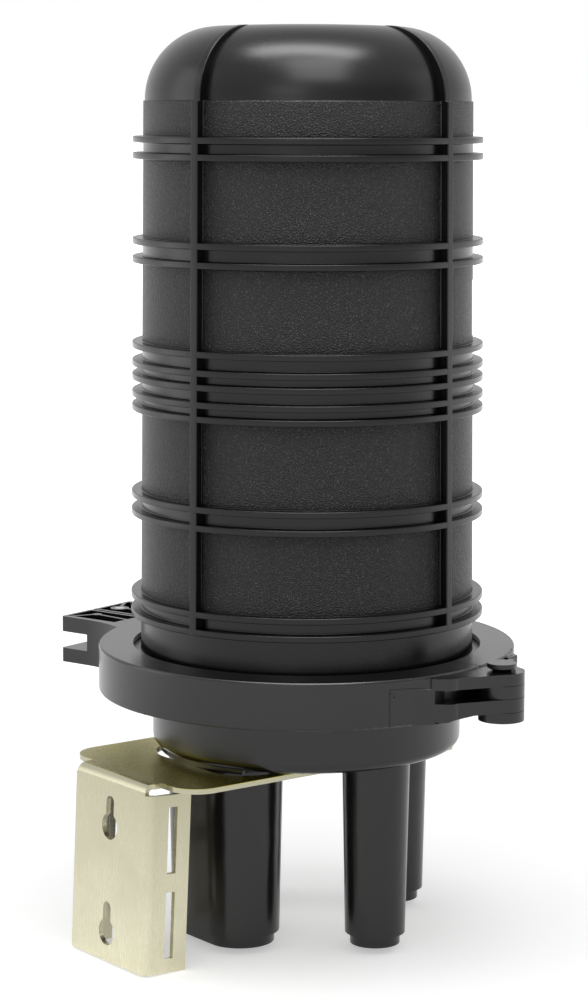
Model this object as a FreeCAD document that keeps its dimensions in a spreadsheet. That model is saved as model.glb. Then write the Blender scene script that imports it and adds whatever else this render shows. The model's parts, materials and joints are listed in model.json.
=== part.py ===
import FreeCAD, Part
import math
import os
import Sketcher

# Dome splice closure: a ribbed dome on a base with cable ports, a two-part clamp hoop and a wall bracket.
# Millimetres. The dome's axis is Z, the port ends lie in the plane Z = 0 and the wall plate faces -X.
# The clamp is modelled with its lugs on +X and its hinge pin on -X, then turned about Z as a whole.

SIZES = [
    # dome
    ("parting_height", 131.0, "plane where the two flanges meet"),
    ("body_radius", 83.3, "dome wall outside, at the parting plane"),
    ("draft", 0.524, "taper of the dome's wall, degrees a side"),
    ("dome_wall", 3.0, "wall thickness of the dome"),
    ("dome_height", 448.0, "top of the dome above the port ends"),
    ("shoulder_drop", 36.4, "the shoulder starts this far below the top"),
    ("shoulder_step", 0.75, "smooth shoulder is inset by this"),
    ("shoulder_radius", 39.0, "rounding of the shoulder"),
    ("top_radius", 41.0, "flat of the dome's top"),
    ("crown", 0.7, "rise of the top's centre over its rim"),
    ("rib_depth", 5.0, "rings and ribs stand out by this"),
    ("rib_width", 4.2, "width of an upright rib"),
    ("rib_turn", 14.0, "angle of the first upright rib"),
    ("ridge_depth", 4.2, "ribs stand out by this where the shoulder starts"),
    ("ridge_rise", 1.2, "ribs stand out by this at the top's rim"),
    ("ridge_radius", 41.0, "rounding of a rib over the shoulder"),
    ("ring_thickness", 3.1, "height of one ring"),
    ("ring_1", 159.9, "height of the lowest ring's middle"),
    ("ring_2", 168.5, "height of a ring's middle"),
    ("ring_3", 210.2, "height of a ring's middle"),
    ("ring_4", 219.1, "height of a ring's middle"),
    ("ring_5", 262.2, "height of a ring's middle"),
    ("ring_6", 269.0, "height of a ring's middle"),
    ("ring_7", 277.3, "height of a ring's middle"),
    ("ring_8", 284.1, "height of a ring's middle"),
    ("ring_9", 292.9, "height of a ring's middle"),
    ("ring_10", 334.8, "height of a ring's middle"),
    ("ring_11", 343.8, "height of a ring's middle"),
    ("ring_12", 385.1, "height of a ring's middle"),
    ("ring_13", 393.0, "height of the highest ring's middle"),
    ("label_low", 297.0, "lower edge of the bare label field"),
    ("label_high", 325.0, "upper edge of the bare label field"),
    ("label_start", -65.6, "angle where the label field starts"),
    ("label_sweep", 69.0, "angle that the label field covers"),
    ("label_depth", 0.6, "depth of the label field"),
    # flanges and gasket
    ("flange_radius", 100.0, "rim of both flanges"),
    ("flange_edge", 7.6, "flange thickness at the rim"),
    ("flange_root", 8.9, "flange thickness at its root"),
    ("root_radius", 88.0, "where the flange's slope starts"),
    ("groove_radius", 93.5, "middle of the gasket groove"),
    ("groove_width", 5.4, "width of the gasket groove"),
    ("groove_depth", 5.0, "depth of the gasket groove"),
    ("groove_clearance", 0.1, "gasket to the groove's side"),
    # base
    ("cup_radius", 77.4, "outside of the base cup"),
    ("cup_bottom", 91.8, "underside of the base cup"),
    ("cup_round", 5.0, "rounding of the cup's lower edge"),
    ("cup_wall", 4.0, "wall and floor of the cup"),
    ("port_offset", 56.0, "round side ports from the axis"),
    ("front_port_offset", 58.0, "round front port from the axis"),
    ("port_radius", 14.9, "round port at its lower end"),
    ("port_flare", 1.8, "a port grows by this up to the cup"),
    ("port_wall", 2.5, "wall of a port"),
    ("spigot_height", 5.5, "reduced end of a port"),
    ("spigot_inset", 2.55, "reduced end is smaller by this"),
    ("oval_offset", 50.5, "oval port from the axis"),
    ("oval_half_length", 31.75, "oval port along Y, half"),
    ("oval_half_width", 19.5, "oval port along X, half"),
    ("pad_radius", 74.3, "pad between the cup and the bracket"),
    ("pad_inner_radius", 60.0, "inside of that pad"),
    ("pad_sweep", 56.0, "angle that the pad covers"),
    ("boss_radius", 7.0, "boss of a bracket screw"),
    ("screw_x", 20.0, "bracket screws from the axis along X"),
    ("screw_y", 22.0, "bracket screws from the axis along Y"),
    ("screw_radius", 2.5, "thread of a bracket screw"),
    ("screw_depth", 8.0, "length of a bracket screw above the sheet"),
    ("head_radius", 4.6, "head of a bracket screw"),
    ("head_height", 3.0, "height of that head"),
    ("thread_clearance", 0.05, "screw to its hole"),
    # bracket
    ("sheet", 2.5, "bracket sheet thickness"),
    ("plate_top", 89.8, "upper face of the bracket's top plate"),
    ("plate_half_width", 52.4, "top plate along Y, half"),
    ("plate_front", 60.0, "far edge of the top plate"),
    ("plate_back", 106.0, "wall-side edge of the top plate from the axis"),
    ("plate_back_corner", 15.0, "corner radius of the top plate at the wall"),
    ("plate_front_corner", 6.0, "corner radius of the top plate's far edge"),
    ("bracket_shift", 4.9, "middle of the bracket from the axis along Y"),
    ("bend_axis", 111.2, "bend's axis from the dome's axis"),
    ("bend_radius", 1.5, "inside radius of a bend"),
    ("bend_half_width", 30.0, "top bend along Y, half"),
    ("wall_lean", 2.64, "wall plate opens outwards by this, degrees"),
    ("wall_half_width", 33.0, "wall plate along Y, half"),
    ("wall_drop", 88.4, "wall plate below the bend's axis"),
    ("wing_depth", 24.2, "wing from the outer wall face"),
    ("wing_gap", 1.2, "wing's upper edge below the bend's axis"),
    ("relief_x", 113.0, "bend relief hole from the axis"),
    ("relief_y", 33.9, "bend relief hole from the middle"),
    ("relief_radius", 5.0, "bend relief hole"),
    ("keyhole_radius", 6.5, "round part of a keyhole"),
    ("keyhole_slot", 6.5, "width of a keyhole's slot"),
    ("keyhole_length", 21.5, "keyhole from end to end"),
    ("keyhole_drop", 22.0, "upper keyhole's round part below the bend's axis"),
    ("keyhole_pitch", 52.3, "from keyhole to keyhole"),
    ("slot_from", 11.6, "wing slot's near side from the wall face"),
    ("slot_width", 5.0, "width of a wing slot"),
    ("slot_length", 32.6, "length of a wing slot"),
    ("slot_drop", 7.2, "upper wing slot below the bend's axis"),
    ("slot_gap", 9.1, "between the two slots of a wing"),
    ("notch_radius", 20.0, "notch round a round port"),
    ("oval_clearance", 2.3, "oval cut-out round its port, along X"),
    ("oval_end_clearance", 7.5, "oval cut-out round its port, along Y"),
    # clamp
    ("clamp_turn", 105.9, "angle of the clamp's lugs"),
    ("hoop_radius", 104.4, "outside of the hoop"),
    ("hoop_bottom", 119.4, "underside of the hoop"),
    ("hoop_top", 142.7, "upper face of the hoop"),
    ("hoop_round", 1.3, "rounding of the hoop's edges"),
    ("lip_radius", 87.3, "opening in the hoop's upper lip"),
    ("lower_lip_radius", 84.0, "opening in the hoop's lower lip"),
    ("hoop_clearance", 0.3, "hoop to flange, above and below"),
    ("hoop_bore_clearance", 0.9, "hoop to the flange's rim"),
    ("parting_gap", 0.3, "each half of the hoop from the parting plane"),
    ("pin_offset", 116.3, "hinge pin from the axis"),
    ("knuckle_radius", 11.1, "hinge knuckle"),
    ("knuckle_top", 142.0, "top of the upper knuckle"),
    ("knuckle_1", 5.8, "height of the first knuckle from the top"),
    ("knuckle_2", 6.3, "height of the second knuckle"),
    ("knuckle_3", 6.7, "height of the third knuckle"),
    ("knuckle_4", 5.2, "height of the lowest knuckle"),
    ("knuckle_gap", 0.2, "between two knuckles"),
    ("arm_side", 34.6, "side face of a hinge arm from the parting plane"),
    ("arm_reach", 105.5, "where that face ends, from the axis"),
    ("arm_corner", 6.4, "corner radius of a hinge arm"),
    ("arm_root", 100.5, "web that closes the slot between two hinge arms"),
    ("arm_tangent", 25.0, "where a hinge arm's face meets its knuckle, degrees"),
    ("arm_flare", 115.0, "where the front arm's sloped underside ends"),
    ("pin_radius", 3.0, "hinge pin"),
    ("pin_clearance", 0.05, "pin to its bore"),
    ("pin_head_radius", 7.1, "head of the hinge pin"),
    ("pin_head_height", 2.2, "rim of that head"),
    ("pin_neck_height", 1.6, "slope under that head"),
    ("lug_radius", 142.5, "outer edge of a lug"),
    ("lug_side", 24.8, "side face of a lug from the parting plane"),
    ("lug_inner_side", 0.8, "inner face of a lug from the parting plane"),
    ("lug_slot_depth", 17.7, "slot of a lug, from its outer edge to the web that closes it"),
    ("rear_lug_side", 31.0, "side face of the rear lug from the parting plane"),
    ("lug_bottom", 118.5, "underside of a lug"),
    ("lug_slot_low", 125.9, "lower side of a lug's slot"),
    ("lug_slot_high", 134.7, "upper side of a lug's slot"),
    ("lug_wall", 2.0, "outer wall round a lug's pockets"),
    ("lug_rim", 3.4, "wall between a lug's pockets and its side face"),
    ("lug_pocket_radius", 108.8, "inner end of a lug's pockets"),
    ("lug_rib", 1.8, "thickness of a rib in a lug's pocket"),
    ("lug_sweep_angle", 17.5, "where the front lug's sweep meets the hoop, degrees"),
    ("rear_lug_sweep_angle", 21.5, "where the rear lug's sweep meets the hoop, degrees"),
    ("lug_rib_outwards", 60.0, "direction of a rib towards a lug's corner, degrees"),
    ("lug_rib_inwards", 174.0, "direction of a rib towards the hoop, degrees"),
    ("knob_inset", 11.5, "knob in the front lug's pocket from the lug's outer edge"),
    ("knob_side", 9.3, "that knob from the parting plane"),
    ("knob_radius", 2.5, "that knob"),
    ("lug_pocket", 5.2, "depth of a lug's pockets"),
    ("lug_corner", 1.5, "corner radius of a lug"),
    ("lug_sweep", 60.0, "radius from a lug into the hoop"),
    # closing bolt
    ("eye_inset", 9.0, "eye bolt's pin from a lug's outer edge"),
    ("eye_side", 12.0, "eye bolt's pin from the parting plane"),
    ("eye_radius", 7.0, "eye of the bolt"),
    ("eye_clearance", 0.3, "eye to the lug's flanges"),
    ("eye_pin_radius", 2.5, "pin of the eye bolt"),
    ("eye_boss_radius", 5.0, "boss round that pin"),
    ("bolt_radius", 4.0, "shank of the eye bolt"),
    ("bolt_length", 50.0, "shank from the pin to its end"),
    ("nut_distance", 38.2, "nut's face from the pin"),
    ("nut_height", 8.0, "height of the nut"),
    ("nut_across", 13.0, "nut across its flats"),
    ("nut_flange_radius", 8.0, "flange of the nut"),
    ("nut_flange_height", 1.8, "thickness of that flange"),
    # frame and trays inside
    ("frame_sheet", 1.5, "sheet of the tray frame"),
    ("frame_back", -22.0, "rear face of the frame's plate"),
    ("frame_half_width", 50.0, "frame along Y, half"),
    ("frame_top", 392.0, "top of the frame"),
    ("frame_edge", 8.0, "folded edge of the frame"),
    ("foot_front", 22.0, "far edge of the frame's foot"),
    ("foot_half_width", 45.0, "frame's foot along Y, half"),
    ("foot_bottom", 103.0, "underside of the frame's foot"),
    ("foot_screw_x", 14.0, "foot screws along X"),
    ("foot_screw_y", 38.0, "foot screws along Y"),
    ("foot_boss_radius", 5.0, "boss of a foot screw"),
    ("small_screw_radius", 1.9, "thread of a small screw"),
    ("small_head_radius", 3.6, "head of a small screw"),
    ("small_head_height", 2.4, "height of that head"),
    ("window_half_width", 34.0, "windows in the frame, half"),
    ("window_height", 58.0, "height of a window"),
    ("window_low", 190.0, "lower edge of the first window"),
    ("window_pitch", 68.0, "from window to window"),
    ("tray_pitch", 12.0, "from tray to tray"),
    ("tray_depth", 9.5, "thickness of a tray"),
    ("tray_back", -14.0, "rear face of the rearmost tray"),
    ("tray_half_width", 54.0, "tray along Y, half"),
    ("tray_length", 215.0, "height of a tray"),
    ("tray_corner", 20.0, "corner radius of a tray"),
    ("tray_wall", 1.8, "rim of a tray"),
    ("tray_floor", 1.5, "floor of a tray"),
    ("tray_lift", 6.0, "tray's lower edge above its hinge pin"),
    ("spool_radius", 22.0, "fibre guide in a tray"),
    ("spool_height", 5.0, "height of a fibre guide"),
    ("hinge_low", 150.0, "front tray's hinge pin"),
    ("hinge_step", 10.0, "each further hinge pin is higher by this"),
    ("hinge_pin_radius", 2.0, "tray hinge pin"),
    ("barrel_radius", 4.0, "hinge barrel of a tray"),
    ("barrel_half_length", 19.5, "that barrel along Y, half"),
    ("cheek_clearance", 0.3, "barrel to the block's cheeks"),
    ("block_half_width", 26.0, "hinge block along Y, half"),
    ("block_bottom", 120.0, "underside of the hinge block"),
    ("block_cover", 4.6, "hinge block above and below a pin"),
    ("cover_sheet", 1.2, "clear cover of the front tray"),
    ("comb_half_length", 30.0, "splice comb along Y, half"),
    ("comb_height", 22.0, "splice comb along Z"),
    ("comb_depth", 5.0, "splice comb along X"),
    ("comb_slots", 6, "grooves in a splice comb"),
    ("comb_slot", 2.4, "width of a groove"),
    ("basket_back", -56.0, "rear face of the storage basket"),
    ("basket_low", 160.0, "underside of the storage basket"),
    ("basket_high", 330.0, "top of the storage basket"),
    ("basket_wall", 2.0, "wall of the storage basket"),
    ("basket_corner", 16.0, "corner radius of the storage basket"),
    ("clamp_block_x", 16.0, "core clamp along X"),
    ("clamp_block_y", 12.0, "core clamp along Y"),
    ("clamp_block_height", 11.0, "core clamp along Z"),
    ("clamp_block_offset", 26.0, "core clamp from the middle"),
    ("stud_radius", 3.0, "earth stud"),
    ("stud_height", 13.0, "earth stud above the foot"),
    ("stud_nut_height", 5.0, "nut of the earth stud"),
    ("stud_nut_across", 10.0, "that nut across its flats"),
]

RINGS = 13
TRAYS = 4
WINDOWS = 3
OVERRUN = 1.0


class Size:
    """A number, with the sheet's formula for it."""

    def __init__(self, value, text):
        self.value = value
        self.text = text

    def __add__(self, other):
        other = as_size(other)
        return Size(self.value + other.value, f"({self.text} + {other.text})")

    def __radd__(self, other):
        return as_size(other) + self

    def __sub__(self, other):
        other = as_size(other)
        return Size(self.value - other.value, f"({self.text} - {other.text})")

    def __rsub__(self, other):
        return as_size(other) - self

    def __mul__(self, other):
        other = as_size(other)
        return Size(self.value * other.value, f"({self.text} * {other.text})")

    def __rmul__(self, other):
        return as_size(other) * self

    def __truediv__(self, other):
        other = as_size(other)
        return Size(self.value / other.value, f"({self.text} / {other.text})")

    def __neg__(self):
        return self * -1


def as_size(number):
    if isinstance(number, Size):
        return number
    return Size(float(number), f"({float(number)!r})")


def sine(angle):
    return Size(math.sin(math.radians(angle.value)), f"sin({angle.text} * 1deg)")


def cosine(angle):
    return Size(math.cos(math.radians(angle.value)), f"cos({angle.text} * 1deg)")


def tangent(angle):
    return Size(math.tan(math.radians(angle.value)), f"tan({angle.text} * 1deg)")


doc = FreeCAD.newDocument("dome_splice_closure")
sheet = doc.addObject("Spreadsheet::Sheet", "Sizes")
for row, (word, number, meaning) in enumerate(SIZES, start=1):
    sheet.set(f"A{row}", word)
    sheet.set(f"B{row}", str(number))
    sheet.setAlias(f"B{row}", word)
    sheet.set(f"C{row}", meaning)
doc.recompute()


class Sheet:
    """The sheet's sizes by their words."""

    def __getattr__(self, word):
        return Size(float(getattr(sheet, word)), f"Sizes.{word}")


d = Sheet()
pieces = []


def bind(feature, properties):
    for name, number in properties.items():
        feature.setExpression(name, as_size(number).text)


def place(feature, x=0, y=0, z=0):
    bind(feature, {"Placement.Base.x": x, "Placement.Base.y": y, "Placement.Base.z": z})
    return feature


def turn_about(feature, axis, angle):
    feature.Placement = FreeCAD.Placement(FreeCAD.Vector(), FreeCAD.Rotation(axis, 1.0))
    bind(feature, {"Placement.Rotation.Angle": angle})
    return feature


ALONG_X = FreeCAD.Rotation(FreeCAD.Vector(0, 1, 0), 90)
ALONG_Y = FreeCAD.Rotation(FreeCAD.Vector(1, 0, 0), -90)
UPRIGHT = FreeCAD.Rotation()
UP = FreeCAD.Vector(0, 0, 1)


def block(name, x, y, z):
    """A box between two values on each axis."""
    box = doc.addObject("Part::Box", name)
    bind(box, {"Length": x[1] - x[0], "Width": y[1] - y[0], "Height": z[1] - z[0]})
    return place(box, x[0], y[0], z[0])


def rod(name, radius, length, x=0, y=0, z=0, along=UPRIGHT):
    cylinder = doc.addObject("Part::Cylinder", name)
    cylinder.Placement = FreeCAD.Placement(FreeCAD.Vector(), along)
    bind(cylinder, {"Radius": radius, "Height": length})
    return place(cylinder, x, y, z)


def strip(name, x, y, angle, length, width, low, high, behind=0):
    """An upright wall that runs from a point in one direction, and behind the point where asked."""
    wall = doc.addObject("Part::Box", name)
    bind(wall, {"Length": length + behind, "Width": width, "Height": high - low})
    turn_about(wall, UP, angle)
    half = width / 2
    return place(wall, x + half * sine(angle) - behind * cosine(angle), y - half * cosine(angle) - behind * sine(angle), low)


def taper(name, radius_low, radius_high, height, x=0, y=0, z=0):
    cone = doc.addObject("Part::Cone", name)
    bind(cone, {"Radius1": radius_low, "Radius2": radius_high, "Height": height})
    return place(cone, x, y, z)


def fuse(name, *members):
    joined = doc.addObject("Part::MultiFuse", name)
    joined.Shapes = list(members)
    joined.Refine = True
    return joined


def cut(name, body, *tools):
    tool = tools[0] if len(tools) == 1 else fuse(name + "_tools", *tools)
    result = doc.addObject("Part::Cut", name)
    result.Base = body
    result.Tool = tool
    result.Refine = True
    return result


def overlap(name, first, second):
    shared = doc.addObject("Part::Common", name)
    shared.Base = first
    shared.Tool = second
    return shared


def mirrored(name, source, normal):
    copy = doc.addObject("Part::Mirroring", name)
    copy.Source = source
    copy.Normal = FreeCAD.Vector(*normal)
    return copy


def group(name, *members):
    together = doc.addObject("Part::Compound", name)
    together.Links = list(members)
    return together


def piece(name, feature):
    """Names a finished sub-part: its label is its file's name."""
    feature.Label = name
    pieces.append(feature)
    return feature


def draw(body, plane_role, corners):
    """A closed outline. A corner is (x, y), or (x, y, radius, side) where an arc leads to the next
    corner: side is 1 when it turns left on the way and -1 when it turns right."""
    sketch = body.newObject("Sketcher::SketchObject", body.Name + "_outline")
    plane = [feature for feature in body.Origin.OriginFeatures if feature.Role == plane_role][0]
    sketch.AttachmentSupport = [(plane, "")]
    sketch.MapMode = "FlatFace"
    spots = [(as_size(corner[0]), as_size(corner[1])) for corner in corners]
    ends = []
    for index, corner in enumerate(corners):
        here = spots[index]
        there = spots[(index + 1) % len(spots)]
        start = FreeCAD.Vector(here[0].value, here[1].value, 0)
        finish = FreeCAD.Vector(there[0].value, there[1].value, 0)
        if len(corner) == 2:
            sketch.addGeometry(Part.LineSegment(start, finish))
            ends.append((1, 2))
            continue
        radius = as_size(corner[2])
        side = corner[3]
        middle = (start + finish) * 0.5
        chord = finish - start
        left = FreeCAD.Vector(-chord.y, chord.x, 0).normalize()
        rise = math.sqrt(max(radius.value ** 2 - chord.Length ** 2 / 4, 0))
        centre = middle + left * rise * side
        first = start - centre if side > 0 else finish - centre
        last = finish - centre if side > 0 else start - centre
        circle = Part.Circle(centre, UP, radius.value)
        begin = math.atan2(first.y, first.x)
        stop = math.atan2(last.y, last.x)
        if stop < begin:
            stop += 2 * math.pi
        sketch.addGeometry(Part.ArcOfCircle(circle, begin, stop))
        ends.append((1, 2) if side > 0 else (2, 1))
    for index, corner in enumerate(corners):
        follower = (index + 1) % len(corners)
        sketch.addConstraint(Sketcher.Constraint("Coincident", index, ends[index][1], follower, ends[follower][0]))
        for axis, kind, number in ((-2, "DistanceX", spots[index][0]), (-1, "DistanceY", spots[index][1])):
            if number.value == 0:
                sketch.addConstraint(Sketcher.Constraint("PointOnObject", index, ends[index][0], axis))
                continue
            held = Sketcher.Constraint(kind, -1, 1, index, ends[index][0], number.value)
            sketch.setExpression(f"Constraints[{sketch.addConstraint(held)}]", number.text)
        if len(corner) == 4:
            radius = as_size(corner[2])
            held = Sketcher.Constraint("Radius", index, radius.value)
            sketch.setExpression(f"Constraints[{sketch.addConstraint(held)}]", radius.text)
    return sketch


def turned(name, corners):
    """A turned form: (radius, height) corners swept round Z."""
    body = doc.addObject("PartDesign::Body", name)
    sketch = draw(body, "XZ_Plane", corners)
    form = body.newObject("PartDesign::Revolution", name + "_turned")
    form.Profile = sketch
    form.ReferenceAxis = (sketch, ["V_Axis"])
    form.Angle = 360
    return body


def raised(name, corners, low, high):
    """An outline in XY, raised from one height to another."""
    body = doc.addObject("PartDesign::Body", name)
    sketch = draw(body, "XY_Plane", corners)
    pad = body.newObject("PartDesign::Pad", name + "_raised")
    pad.Profile = sketch
    bind(pad, {"Length": high - low})
    return place(body, 0, 0, low)


def across(name, corners, half_width):
    """An outline in XZ, as thick on both sides of it along Y."""
    body = doc.addObject("PartDesign::Body", name)
    sketch = draw(body, "XZ_Plane", corners)
    pad = body.newObject("PartDesign::Pad", name + "_across")
    pad.Profile = sketch
    pad.Midplane = True
    bind(pad, {"Length": half_width * 2})
    return body


def facing(name, corners, back, front):
    """An outline in YZ, raised along X from one value to another."""
    body = doc.addObject("PartDesign::Body", name)
    sketch = draw(body, "YZ_Plane", corners)
    pad = body.newObject("PartDesign::Pad", name + "_facing")
    pad.Profile = sketch
    bind(pad, {"Length": front - back})
    return place(body, back, 0, 0)


def rounded(left, right, low, high, radius, right_radius=None):
    """Corners of a rectangle with four round corners. Those on its right may have their own radius."""
    far = right_radius or radius
    return [
        (left + radius, low), (right - far, low, far, 1),
        (right, low + far), (right, high - far, far, 1),
        (right - far, high), (left + radius, high, radius, 1),
        (left, high - radius), (left, low + radius, radius, 1),
    ]


def hexagon(name, across_flats, height, x=0, y=0, z=0, along=UPRIGHT):
    prism = doc.addObject("Part::Prism", name)
    prism.Polygon = 6
    prism.Placement = FreeCAD.Placement(FreeCAD.Vector(), along)
    bind(prism, {"Circumradius": across_flats / math.sqrt(3), "Height": height})
    return place(prism, x, y, z)


def screw(name, x, y, seat, thread_radius, thread_length, cap_radius, cap_height, downwards=True):
    """An upright screw whose head rests on the seat."""
    if downwards:
        thread = rod(name + "_thread", thread_radius, thread_length, x, y, seat - thread_length)
        cap = rod(name + "_head", cap_radius, cap_height, x, y, seat)
    else:
        thread = rod(name + "_thread", thread_radius, thread_length, x, y, seat)
        cap = rod(name + "_head", cap_radius, cap_height, x, y, seat - cap_height)
    return fuse(name, thread, cap)


SIGNS = [(1, 1), (1, -1), (-1, 1), (-1, -1)]


def wall_radius(height):
    """Outside of the dome's wall at a height."""
    return d.body_radius - tangent(d.draft) * (height - d.parting_height)


def make_dome():
    shoulder_start = d.dome_height - d.shoulder_drop
    shoulder = wall_radius(shoulder_start) - d.shoulder_step
    rim_height = d.dome_height - d.crown
    core = turned("dome_core", [
        (wall_radius(d.parting_height) - d.dome_wall, d.parting_height),
        (d.flange_radius, d.parting_height),
        (d.flange_radius, d.parting_height + d.flange_edge),
        (d.root_radius, d.parting_height + d.flange_root),
        (wall_radius(d.parting_height + d.flange_root), d.parting_height + d.flange_root),
        (wall_radius(shoulder_start), shoulder_start),
        (shoulder, shoulder_start, d.shoulder_radius, 1),
        (d.top_radius, rim_height),
        (0, d.dome_height),
        (0, d.dome_height - d.dome_wall),
        (d.top_radius, rim_height - d.dome_wall, d.shoulder_radius - d.dome_wall, -1),
        (shoulder - d.dome_wall, shoulder_start),
    ])
    lowest = d.ring_1 - d.ring_thickness / 2
    envelope = turned("rib_envelope", [
        (0, lowest),
        (wall_radius(lowest) + d.rib_depth, lowest),
        (wall_radius(shoulder_start) + d.rib_depth, shoulder_start),
        (shoulder + d.ridge_depth, shoulder_start, d.ridge_radius, 1),
        (d.top_radius, rim_height + d.ridge_rise),
        (d.top_radius - d.ridge_rise, rim_height - d.dome_wall / 2),
        (0, rim_height - d.dome_wall / 2),
    ])
    stock = []
    for number in range(1, RINGS + 1):
        middle = getattr(d, f"ring_{number}")
        stock.append(rod(f"ring_slab_{number}", d.flange_radius, d.ring_thickness, 0, 0, middle - d.ring_thickness / 2))
    for name, extra in (("rib_plane_a", 0), ("rib_plane_b", 90)):
        stock.append(strip(name, as_size(0), as_size(0), d.rib_turn + extra, d.flange_radius, d.rib_width,
                           lowest, d.dome_height + d.rib_depth, behind=d.flange_radius))
    ribs = overlap("rings_and_ribs", envelope, fuse("rib_stock", *stock))
    inside = turned("dome_inside", [
        (0, d.parting_height),
        (wall_radius(d.parting_height) - d.dome_wall / 2, d.parting_height),
        (wall_radius(shoulder_start) - d.dome_wall / 2, shoulder_start),
        (shoulder - d.dome_wall / 2, shoulder_start, d.shoulder_radius - d.dome_wall / 2, 1),
        (d.top_radius, rim_height - d.dome_wall / 2),
        (0, rim_height - d.dome_wall / 2),
    ])
    grille = cut("rings_and_ribs_outside", ribs, inside)
    field_radius = wall_radius((d.label_low + d.label_high) / 2) - d.label_depth
    field_height = d.label_high - d.label_low
    field = cut("label_field", rod("label_outer", d.body_radius + OVERRUN, field_height, 0, 0, d.label_low),
                rod("label_inner", field_radius, field_height, 0, 0, d.label_low))
    sector = doc.addObject("Part::Cylinder", "label_sector")
    turn_about(sector, UP, d.label_start)
    bind(sector, {"Radius": d.flange_radius, "Height": field_height, "Angle": d.label_sweep})
    place(sector, 0, 0, d.label_low)
    recessed = cut("dome_recessed", core, overlap("label_recess", field, sector))
    piece("dome", fuse("dome", recessed, grille))


def flange_under(radius):
    """Underside of the base flange at a radius, outside its root."""
    slope = (d.flange_root - d.flange_edge) / (d.flange_radius - d.root_radius)
    return d.parting_height - d.flange_edge - slope * (d.flange_radius - radius)


def stadium(x, half_width, half_length):
    """Outline of an oval port: round ends on Y."""
    straight = half_length - half_width
    quarter = half_width
    return [
        (x + half_width, -straight), (x + half_width, straight, quarter, 1),
        (x, half_length, quarter, 1), (x - half_width, straight),
        (x - half_width, -straight, quarter, 1), (x, -half_length, quarter, 1),
    ]


def tapered_oval(name, inset, low, high, growth):
    """An oval port's solid between two heights, wider at its top by growth a side."""
    body = doc.addObject("PartDesign::Body", name)
    sketches = []
    for end, extra in ((low, 0), (high, growth)):
        half_width = d.oval_half_width - inset + extra
        half_length = d.oval_half_length - inset + extra
        sketch = draw(body, "XY_Plane", stadium(-d.oval_offset, half_width, half_length))
        bind(sketch, {"AttachmentOffset.Base.z": end})
        sketches.append(sketch)
    loft = body.newObject("PartDesign::AdditiveLoft", name + "_loft")
    loft.Profile = sketches[0]
    loft.Sections = [sketches[1]]
    loft.Ruled = True
    return body


def make_base():
    floor = d.cup_bottom + d.cup_wall
    groove_floor = d.parting_height - d.groove_depth
    cup = turned("base_cup", [
        (0, d.cup_bottom),
        (d.cup_radius - d.cup_round, d.cup_bottom, d.cup_round, 1),
        (d.cup_radius, d.cup_bottom + d.cup_round),
        (d.cup_radius, d.parting_height - d.flange_root),
        (d.root_radius, d.parting_height - d.flange_root),
        (d.flange_radius, d.parting_height - d.flange_edge),
        (d.flange_radius, d.parting_height),
        (d.groove_radius + d.groove_width / 2, d.parting_height),
        (d.groove_radius + d.groove_width / 2, groove_floor),
        (d.groove_radius - d.groove_width / 2, groove_floor),
        (d.groove_radius - d.groove_width / 2, d.parting_height),
        (d.cup_radius - d.cup_wall, d.parting_height),
        (d.cup_radius - d.cup_wall, floor),
        (0, floor),
    ])
    solids = [cup]
    hollows = []
    middle_floor = (d.cup_bottom + floor) / 2
    rise = middle_floor - d.spigot_height
    places = [(d.front_port_offset, 0), (0, d.port_offset), (0, -d.port_offset)]
    for number, (x, y) in enumerate(places, start=1):
        solids.append(taper(f"port_{number}", d.port_radius, d.port_radius + d.port_flare, rise, x, y, d.spigot_height))
        solids.append(rod(f"port_end_{number}", d.port_radius - d.spigot_inset, d.spigot_height + OVERRUN, x, y, 0))
        bore = d.port_radius - d.port_wall
        hollows.append(taper(f"port_bore_{number}", bore, bore + d.port_flare, rise + d.cup_wall,
                             x, y, d.spigot_height + d.port_wall))
        hollows.append(rod(f"spigot_bore_{number}", bore - d.spigot_inset, d.spigot_height + OVERRUN, x, y, d.port_wall))
    solids.append(tapered_oval("oval_port", as_size(0), d.spigot_height, middle_floor, d.port_flare))
    solids.append(tapered_oval("oval_end", d.spigot_inset, as_size(0), d.spigot_height + OVERRUN, as_size(0)))
    hollows.append(tapered_oval("oval_bore", d.port_wall, d.spigot_height + d.port_wall,
                                floor + OVERRUN, d.port_flare))
    hollows.append(tapered_oval("oval_end_bore", d.port_wall + d.spigot_inset, d.port_wall,
                                d.spigot_height + d.port_wall + OVERRUN, as_size(0)))
    pad_height = middle_floor - d.plate_top
    pad = doc.addObject("Part::Cylinder", "pad_sector")
    turn_about(pad, UP, 180 - d.pad_sweep / 2)
    bind(pad, {"Radius": d.pad_radius, "Height": pad_height, "Angle": d.pad_sweep})
    place(pad, 0, 0, d.plate_top)
    solids.append(cut("pad", pad, rod("pad_hole", d.pad_inner_radius, pad_height, 0, 0, d.plate_top)))
    for number, (x, y) in enumerate(SIGNS, start=1):
        solids.append(rod(f"boss_{number}", d.boss_radius, pad_height, d.screw_x * x, d.screw_y * y, d.plate_top))
        hollows.append(rod(f"boss_hole_{number}", d.screw_radius + d.thread_clearance, d.screw_depth,
                           d.screw_x * x, d.screw_y * y, d.plate_top))
        solids.append(rod(f"foot_boss_{number}", d.foot_boss_radius, d.foot_bottom - middle_floor,
                          d.foot_screw_x * x, d.foot_screw_y * y, middle_floor))
        hollows.append(rod(f"foot_hole_{number}", d.small_screw_radius + d.thread_clearance,
                           d.foot_bottom - middle_floor, d.foot_screw_x * x, d.foot_screw_y * y, middle_floor))
    piece("base", cut("base", fuse("base_solids", *solids), *hollows))
    half = d.groove_width / 2 - d.groove_clearance
    piece("seal_ring", turned("seal_ring", [
        (d.groove_radius - half, groove_floor), (d.groove_radius + half, groove_floor),
        (d.groove_radius + half, d.parting_height), (d.groove_radius - half, d.parting_height),
    ]))


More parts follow.
